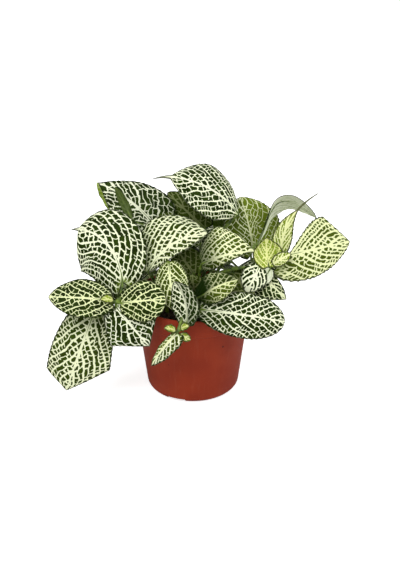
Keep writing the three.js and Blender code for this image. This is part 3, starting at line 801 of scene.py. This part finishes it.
def addBlade(name, leaf, axes, chance):
    length, shape = axes[2], bladeShape
    rows = max(8, round(length / shape["cell"]))
    columns = 2 * max(4, round(max(np.max(leaf["width"]), 8) / 2 / shape["cell"]))
    even = np.linspace(0, 1, rows + 1)
    stations = 0.5 * even + 0.25 * (1 - np.cos(math.pi * even))
    share, across = np.meshgrid(stations, np.linspace(1, -1, columns + 1), indexing="ij")
    points = bladePoints(leaf, axes, share, across)
    lines, run, pitch, halfWidth = veinFields(leaf, points, share, across, length, chance)
    reach = np.abs(across)
    fromMidrib = reach * halfWidth
    normal = unit(np.cross(np.gradient(points, axis=0), -np.gradient(points, axis=1)))
    quilt = np.sin(math.pi * lines) ** 2
    for measure in (pitch, fromMidrib):
        quilt *= np.clip(measure / shape["reliefFrom"], 0, 1)
    quilt *= np.clip((1 - reach) * shape["reliefEdge"], 0, 1) * shape["relief"]
    quilt -= shape["groove"] * np.exp(-(fromMidrib / shape["grooveWidth"]) ** 2)
    points = points + normal * quilt[..., None]

    piece, row, column = gridObject(name, columns, rows)
    mesh = piece.data
    setPlaces(mesh, points[row, column])

    def setFields(name, *fields):
        setVector(mesh, name, np.stack(fields, -1)[row, column])

    usual = np.ones_like(pitch)
    setFields("blade", fromMidrib, (1 - reach) * halfWidth, share)
    setFields("row", pitch, usual * leaf["vein"], usual * leaf["cell"])
    for name, keys in (("tint", ("youth", "pale", "gloom")), ("mood", ("warmth", "faint", "depth"))):
        setFields(name, *(halves(leaf[key], across) for key in keys))
    corners = np.empty(len(mesh.loops), int)
    mesh.loops.foreach_get("vertex_index", corners)
    faceMiddle = column[corners].reshape(-1, 4).mean(axis=1)
    onRight = np.repeat(faceMiddle > columns / 2, 4)
    linesHere, runHere = lines[row, column][corners], run[row, column][corners]
    for layer in list(mesh.uv_layers):
        mesh.uv_layers.remove(layer)
    layer = mesh.uv_layers.new(name="veins")
    onLeaf = 40 * chance.random()
    veins = np.stack([linesHere + onRight * rowShape["rightShift"], runHere + onLeaf], -1)
    layer.data.foreach_set("uv", veins.astype(np.float32).ravel())
    setMaterials(mesh, leafMaterials)
    applyModifier(piece, "SOLIDIFY", thickness=shape["thickness"] * mm, offset=0, material_offset=1)
    return piece


def turningFrames(path):
    tangent = unit(np.gradient(path, axis=0))
    side = np.empty_like(path)
    first = np.cross(tangent[0], (0.3, 0.8, 0.5))
    side[0] = first / np.linalg.norm(first)
    for k in range(1, len(path)):
        carried = side[k - 1] - side[k - 1] @ tangent[k] * tangent[k]
        side[k] = carried / np.linalg.norm(carried)
    return side, np.cross(tangent, side)


def addTube(name, path, radii, sides):
    side, other = turningFrames(path)
    piece, row, column = gridObject(name, sides, len(path) - 1)
    angle = 2 * math.pi * column / sides
    radius = radii[row]
    spots = path[row] + side[row] * (radius * np.cos(angle))[:, None]
    setPlaces(piece.data, spots + other[row] * (radius * np.sin(angle))[:, None])
    bpy.ops.object.mode_set(mode="EDIT")
    bpy.ops.mesh.select_all(action="SELECT")
    bpy.ops.mesh.remove_doubles(threshold=0.002 * mm)
    bpy.ops.object.mode_set(mode="OBJECT")
    setMaterials(piece.data, leafMaterials, 2)
    return piece


# Many small copies of a template in one piece, which takes the template's place
def copiesOf(template, turns, places, name, materials, slot=0):
    corners = np.array([v.co for v in template.data.vertices])
    faces = [list(p.vertices) for p in template.data.polygons]
    spots = np.einsum("kij,nj->kni", np.array(turns), corners) + np.array(places)[:, None, :]
    allFaces = [[v + k * len(corners) for v in face] for k in range(len(places)) for face in faces]
    mesh = bpy.data.meshes.new(name)
    mesh.from_pydata(spots.reshape(-1, 3).tolist(), [], allFaces)
    setMaterials(mesh, materials, slot)
    bpy.data.objects.remove(template)
    piece = bpy.data.objects.new(name, mesh)
    bpy.context.scene.collection.objects.link(piece)
    return piece


def addHairs(name, tubes, chance):
    selectOnly()
    bpy.ops.mesh.primitive_cone_add(vertices=3, radius1=hairShape["radius"] * mm, radius2=0, depth=mm,
                                    location=(0, 0, 0.5 * mm))
    template = bpy.context.object
    bpy.ops.object.transform_apply(location=True)
    turns, places = [], []
    for path, radii in tubes:
        side, other = turningFrames(path)
        for _ in range(int(lengthOf(path).sum() * hairShape["perMm"])):
            at = chance.uniform(0, len(path) - 1.001)
            k = int(at)
            rest = at - k
            angle = chance.uniform(0, 2 * math.pi)
            out = side[k] * math.cos(angle) + other[k] * math.sin(angle)
            radius = radii[k] * (1 - rest) + radii[k + 1] * rest
            spot = path[k] * (1 - rest) + path[k + 1] * rest + out * radius * hairShape["root"]
            lean = unit(out + hairShape["lean"] * np.array([chance.uniform(-1, 1) for _ in range(3)]))
            flat = unit(np.cross(lean, (0.31, 0.52, 0.79)))
            tall = chance.uniform(*hairShape["length"])
            turns.append(np.stack([flat, np.cross(lean, flat), lean * tall], axis=1))
            places.append(spot * mm)
    return copiesOf(template, turns, places, name, leafMaterials, 2)


def addPetiole(name, leaf, axes, line):
    shape, up = petioleShape, axes[3]
    foot = evenLine(line, [leaf["start"]])[0]
    neck = midribAt(leaf, axes, 0) - up * shape["neckDepth"]
    inside = midribAt(leaf, axes, shape["inside"]) - up * shape["insideDepth"]
    bend = neck + unit(neck - inside) * np.linalg.norm(foot - neck) * shape["bend"]
    middle = sum(place * share for place, share in zip((foot, bend, neck), shape["middle"]))
    outside = evenLine([foot, middle, neck, inside], np.linspace(0, 1, shape["steps"]))
    shares = np.linspace(shape["inside"], shape["ribReach"], shape["ribSteps"] + 1)[1:]
    zeros = np.zeros_like(shares)
    step = 0.01

    def bladeAt(forward, sideways):
        return bladePoints(leaf, axes, shares + forward, zeros + sideways)

    below = -unit(np.cross(bladeAt(step, 0) - bladeAt(-step, 0), bladeAt(0, step) - bladeAt(0, -step)))
    rib = bladeAt(0, 0) + below * shape["ribDepth"]
    path = np.vstack([outside, rib])
    slim = min(1, max(np.max(leaf["width"]) / shape["slimWidth"], shape["slimLeast"]))
    radii = np.concatenate([np.full(len(outside), shape["radius"] * slim),
                            np.linspace(shape["ribStart"], shape["ribEnd"], len(shares)) * slim])
    radii[-1] = pointRadius
    return addTube(name, path, radii, shape["sides"]), (outside, radii[:len(outside)])


def joinPieces(parts):
    selectOnly(*parts)
    bpy.ops.object.join()
    return parts[0]


def smoothPiece(piece, angle):
    selectOnly(piece)
    bpy.ops.object.shade_smooth_by_angle(angle=math.radians(angle))
    count = sum(len(p.vertices) - 2 for p in piece.data.polygons)
    print(piece.name, count, "triangles")
    return count


def addStem(node, points):
    chance = random.Random(node)
    title = "".join(part.capitalize() if k else part for k, part in enumerate(node.split("_")))
    root = np.array(points[0], float)
    line = [root - (0, 0, stemShape["rootDepth"]), *points]
    length = lengthOf(evenLine(line, fineShares)).sum()
    steps = max(8, round(length / stemShape["cell"]))
    shares = np.linspace(0, 1, steps + 1)
    path = evenLine(line, shares)
    radii = np.interp(shares, [0, 1], [stemShape["radius"], stemShape["tipRadius"]])
    for leaf in leaves[node].values():
        away = (shares - leaf["start"]) * length / stemShape["swellReach"]
        radii = radii + stemShape["swell"] * np.exp(-away ** 2)
    radii = np.minimum(radii, stemShape["radius"] + stemShape["swell"])
    path = np.vstack([path, path[-1] + unit(path[-1] - path[-2]) * stemShape["cap"]])
    radii = np.concatenate([radii, [pointRadius]])
    radii[0] = pointRadius
    parts = [addTube(title, path, radii, stemShape["sides"])]
    buried = round(stemShape["rootDepth"] / stemShape["cell"])
    tubes = [(path[buried:-1], radii[buried:-1])]
    for name, leaf in leaves[node].items():
        axes = bladeAxes(leaf)
        petiole, tube = addPetiole(name + "Petiole", leaf, axes, line)
        tubes.append(tube)
        parts += [petiole, addBlade(name, leaf, axes, chance)]
    parts.append(addHairs(title + "Hairs", tubes, chance))
    piece = joinPieces(parts)
    piece.name = title + "Foliage"
    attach(piece, "root")
    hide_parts(node)
    return smoothPiece(piece, stemShape["smoothAngle"])


triangles = sum(addStem(node, points) for node, points in stems.items())
print("foliage ready:", triangles, "triangles")


# Pot and soil

# The lips are steps outwards and up from the rim's inner and outer edge.
plasticPot = dict(
    height=75, rimRadius=45, footRadius=35.75, cornerRadius=4.4, cornerSteps=8, wall=1.3, floor=3,
    bandHeight=15, bandStep=0.6, sides=144, notches=3, firstNotch=-22, notchWidth=15, notchDepth=2.9,
    notchFrom=19, notchBeyond=5, holeRadius=3.5, holeDistance=26, holeSides=32, holeDepth=12,
    capRadius=8, smoothAngle=35, insideCorner=1.5, insideHeights=(20, 40, 60), outsideHeights=(45, 30, 15),
    innerLip=((0.12, -0.3), (0.4, 0)), outerLip=((-0.5, 0), (-0.15, -0.15), (0, -0.5)),
    # The dark speck paint serves for real specks and also as painted shade in a notch's slot.
    paint=paintSet(usual=(150, 52, 24), darker=(138, 46, 23), dusty=(164, 84, 62), speck=(46, 18, 14)),
    cloud=dict(scale=45.0, detail=4.0, low=0.3),
    streak=dict(scale=420.0, detail=4.0, low=0.52, high=0.8, most=0.22),
    grain=dict(scale=1500.0, low=0.6, high=0.78, most=0.35),
    drawn=(1.0, 1.0, 0.06), roughness=(0.46, 0.54), streakRoughness=0.4, mark=0.85, specular=0.12,
    bump=0.25, bumpDepth=0.1, bumpScale=900.0,
    # The mark low at the first notch's end is painted shade in the slot; the other marks are specks and
    # dust.
    marks=[((22.5, -34.5, 49.0), 1.0, "speck"), ((-17.9, -35.0, 33.7), 0.6, "speck"),
           ((-20.7, -28.8, 3.0), 1.3, "speck"), ((25.4, -25.6, 7.7), 0.5, "dusty")],
)


def outerRadius(height, step=0):
    taper = (plasticPot["rimRadius"] - step - plasticPot["footRadius"]) / plasticPot["height"]
    return plasticPot["footRadius"] + taper * height


def innerRadius(height):
    return outerRadius(height, plasticPot["bandStep"]) - plasticPot["wall"]


# A closed turned shape, with one ring after another extruded along its profile
def addTurned(name, profile, sides):
    selectOnly()
    (radius, height), *rest = profile
    bpy.ops.mesh.primitive_circle_add(vertices=sides, radius=radius * mm)
    piece = bpy.context.object
    piece.name = name
    bpy.ops.object.mode_set(mode="EDIT")
    bpy.ops.mesh.select_all(action="SELECT")
    bpy.ops.transform.translate(value=(0, 0, height * mm))
    for nextRadius, nextHeight in rest:
        rise = (0, 0, (nextHeight - height) * mm)
        bpy.ops.mesh.extrude_region_move(TRANSFORM_OT_translate={"value": rise})
        wider = nextRadius / radius
        bpy.ops.transform.resize(value=(wider, wider, 1), center_override=(0, 0, 0))
        radius, height = nextRadius, nextHeight
    bpy.ops.mesh.select_all(action="SELECT")
    bpy.ops.mesh.fill_holes(sides=0)
    bpy.ops.mesh.select_all(action="SELECT")
    bpy.ops.mesh.normals_make_consistent(inside=False)
    bpy.ops.object.mode_set(mode="OBJECT")
    return piece


def makePotPlastic():
    skin = newMaterial("potPlastic")
    tree, paint, finish = skin[1], plasticPot["paint"], plasticPot
    place = objectPlace(tree)
    sockets = {0: place, 1: finish["drawn"]}
    drawn = addNode(tree, "ShaderNodeVectorMath", sockets, operation="MULTIPLY").outputs[0]
    cloud = patches(tree, place, **finish["cloud"])
    streak = patches(tree, drawn, **finish["streak"])
    grain = patches(tree, place, **finish["grain"])
    colour = layered(tree, paint["usual"], (cloud, paint["darker"]), (streak, paint["dusty"]),
                     (grain, paint["dusty"]))
    for spot, radius, name in finish["marks"]:
        sockets = {0: place, 1: [v * mm for v in spot]}
        away = addNode(tree, "ShaderNodeVectorMath", sockets, operation="DISTANCE").outputs["Value"]
        onSpot = fade(tree, away, 0.5 * radius * mm, radius * mm, finish["mark"], 0.0)
        colour = mixColour(tree, onSpot, colour, paint[name])
    roughness = fade(tree, cloud, 0.0, 1.0, *finish["roughness"])
    roughness = mathNode(tree, "MULTIPLY_ADD", streak, finish["streakRoughness"], roughness)
    height = mathNode(tree, "ADD", streak, noiseAt(tree, place, finish["bumpScale"]))
    return finishSkin(skin, finish, colour, roughness, height)


def addPot():
    shape = plasticPot
    corner, step, floor = shape["cornerRadius"], shape["bandStep"], shape["floor"]
    top, rim, cap = shape["height"], shape["rimRadius"], shape["capRadius"]
    band = top - shape["bandHeight"]
    inside = floor + shape["insideCorner"]
    profile = [(cap, floor), (innerRadius(inside) - shape["insideCorner"], floor), (innerRadius(5), inside)]
    profile += [(innerRadius(h), h) for h in (*shape["insideHeights"], top - 1)]
    for edge, lip in ((innerRadius(top), shape["innerLip"]), (rim, shape["outerLip"])):
        profile += [(edge + out, top + up) for out, up in lip]
    profile += [(outerRadius(band + step + 0.2), band + step + 0.2)]
    profile += [(outerRadius(band + step) - 0.08, band + step - 0.1), (outerRadius(band) - step, band)]
    profile += [(outerRadius(h) - step, h) for h in shape["outsideHeights"]]
    for i in range(shape["cornerSteps"], -1, -1):
        angle = math.pi / 2 * i / shape["cornerSteps"]
        rise = corner * (1 - math.cos(angle))
        profile.append((outerRadius(rise) - step - corner * (1 - math.sin(angle)), rise))
    profile.append((cap, 0))
    pot = addTurned("nurseryPot", profile, shape["sides"])
    for k in range(shape["notches"]):
        azimuth = shape["firstNotch"] + 360 / shape["notches"] * k
        length = shape["footRadius"] + shape["notchBeyond"] - shape["notchFrom"]
        middle = around(azimuth, shape["notchFrom"] + length / 2, 0)
        size = (shape["notchWidth"], length, shape["notchDepth"] * 2)
        bpy.ops.mesh.primitive_cube_add(size=mm, location=[v * mm for v in middle],
                                        rotation=(0, 0, math.radians(azimuth)), scale=size)
        cutters = [bpy.context.object]
        place = around(azimuth, shape["holeDistance"], 0)
        radius, depth = shape["holeRadius"] * mm, shape["holeDepth"] * mm
        bpy.ops.mesh.primitive_cylinder_add(vertices=shape["holeSides"], radius=radius, depth=depth,
                                            location=[v * mm for v in place])
        cutters.append(bpy.context.object)
        for cutter in cutters:
            applyModifier(pot, "BOOLEAN", object=cutter, operation="DIFFERENCE", solver="EXACT")
            bpy.data.objects.remove(cutter)
    pot.data.materials.append(makePotPlastic())
    return pot


pottingSoil = dict(
    level=66, crown=2, clearance=0.3, ringStep=1.4, lumps=1.8, lumpSize=5, lumpDepth=1.9, lumpInset=0.5,
    sides=72, crumbs=760, crumbInset=1.2, crumbSize=(0.4, 1.3), crumbUneven=(0.7, 1.3), crumbDents=0.9,
    crumbRise=(-0.5, 0.8), barks=40, barkSize=(2.4, 1.1, 0.5), barkUneven=(0.6, 1.3), barkTilt=0.3,
    paint=paintSet(dark=(25, 19, 11), light=(56, 41, 26), fibre=(90, 68, 44)),
    patch=dict(scale=260.0, detail=4.0),
    fibre=dict(scale=1400.0, detail=4.0, low=0.6, high=0.72),
    fibreShare=0.6, roughness=(0.96, 0.8), specular=0.2, bump=0.8, bumpDepth=0.6, bumpScale=1100.0,
)


def makeEarth():
    skin = newMaterial("pottingSoil")
    tree, paint, finish = skin[1], pottingSoil["paint"], pottingSoil
    place = objectPlace(tree)
    patch = patches(tree, place, **finish["patch"])
    fibre = scaled(tree, patches(tree, place, **finish["fibre"]), finish["fibreShare"])
    colour = layered(tree, paint["dark"], (patch, paint["light"]), (fibre, paint["fibre"]))
    roughness = fade(tree, patch, 0.0, 1.0, *finish["roughness"])
    return finishSkin(skin, finish, colour, roughness, noiseAt(tree, place, finish["bumpScale"], 5.0))


def soilHeight(radius, edge):
    level, crown = pottingSoil["level"], pottingSoil["crown"]
    heights = [level, level, level - 0.3 * crown, level - crown]
    return np.interp(radius, [0, 0.6 * edge, 0.9 * edge, edge], heights)


# The soil's top is lumpy, and crumbs and bark lie on it.
def addSoil():
    chance = random.Random("soil")
    shape, gap = pottingSoil, pottingSoil["clearance"]
    low = plasticPot["floor"] + gap
    edge = innerRadius(shape["level"] - shape["crown"]) - gap
    profile = [(plasticPot["capRadius"], low), (innerRadius(low) - gap, low)]
    profile += [(radius, soilHeight(radius, edge)) for radius in np.arange(edge, 1, -shape["ringStep"])]
    soil = addTurned("soilBed", profile, shape["sides"])
    group = soil.vertex_groups.new(name="top")
    lowest = (shape["level"] - shape["lumpDepth"]) * mm
    reach = (edge - shape["lumpInset"]) * mm
    inside = [v.index for v in soil.data.vertices if v.co.z > lowest and v.co.xy.length < reach]
    group.add(inside, 1, "REPLACE")
    lumps = bpy.data.textures.new("soilLumps", "CLOUDS")
    lumps.noise_scale = shape["lumpSize"] * mm
    applyModifier(soil, "DISPLACE", texture=lumps, texture_coords="LOCAL", direction="Z",
                  strength=shape["lumps"] * mm, mid_level=0.5, vertex_group="top")
    soil.data.materials.append(makeEarth())
    selectOnly()
    bpy.ops.mesh.primitive_ico_sphere_add(subdivisions=1, radius=mm)
    template = bpy.context.object
    applyModifier(template, "DISPLACE", texture=lumps, texture_coords="LOCAL",
                  strength=shape["crumbDents"] * mm)
    turns, places = [], []
    for k in range(shape["crumbs"] + shape["barks"]):
        radius = (edge - shape["crumbInset"]) * math.sqrt(chance.random())
        x, y, _ = around(chance.uniform(0, 360), radius, 0)
        angles = [chance.uniform(-math.pi, math.pi) for _ in range(3)]
        ranges = (shape["crumbSize"], shape["crumbUneven"])
        size = [math.prod(chance.uniform(*limits) for limits in ranges) for _ in range(3)]
        if k >= shape["crumbs"]:
            size = [v * chance.uniform(*shape["barkUneven"]) for v in shape["barkSize"]]
            angles[:2] = [chance.uniform(-shape["barkTilt"], shape["barkTilt"]) for _ in range(2)]
        turns.append(np.array(Euler(angles).to_matrix()) * size)
        height = soilHeight(radius, edge) + chance.uniform(*shape["crumbRise"])
        places.append((x * mm, y * mm, height * mm))
    return joinPieces([soil, copiesOf(template, turns, places, "soilCrumbs", soil.data.materials)])


for piece, node, slot in ((addPot(), "pot", "pot_plastic"), (addSoil(), "soil", "soil")):
    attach(piece, "root")
    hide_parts(node)
    smoothPiece(piece, plasticPot["smoothAngle"])
